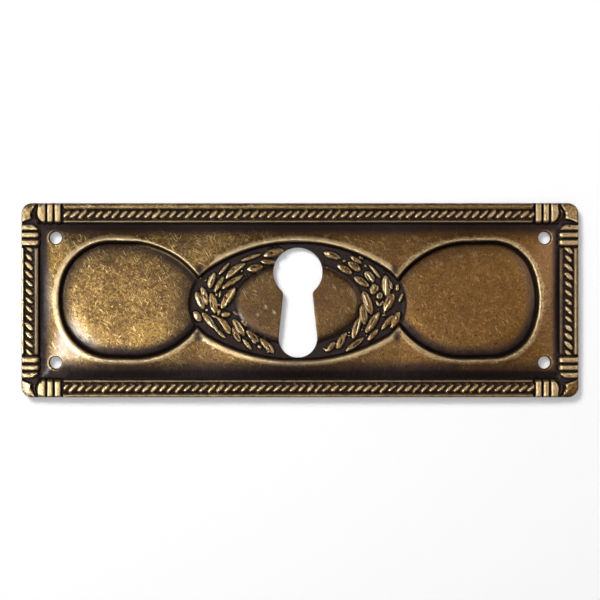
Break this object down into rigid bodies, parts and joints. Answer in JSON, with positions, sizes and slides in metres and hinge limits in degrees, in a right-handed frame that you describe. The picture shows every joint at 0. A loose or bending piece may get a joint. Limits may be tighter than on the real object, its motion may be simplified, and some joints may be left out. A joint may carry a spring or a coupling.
{
  "type": "keyhole escutcheon",
  "caption": "Rectangular pressed brass keyhole escutcheon with a roped frame, overlapping oval recesses, a leaf wreath round the keyhole and a pin hole near each corner; antique finish.",
  "frame": {"origin": "middle of the back rim, the face that lies on the drawer front", "axes": "+X along the plate's length, +Y towards the round head of the keyhole, +Z out of the decorated front"},
  "size_m": [0.105, 0.0366, 0.0023],
  "materials": {
    "antique_brass": "antiqued: near-black brown lacquer in the recesses, brown-gold faces and lighter rubbed crests"
  },
  "bodies": {
    "root": {"escutcheon_plate": "antique_brass"}
  },
  "joints": []
}
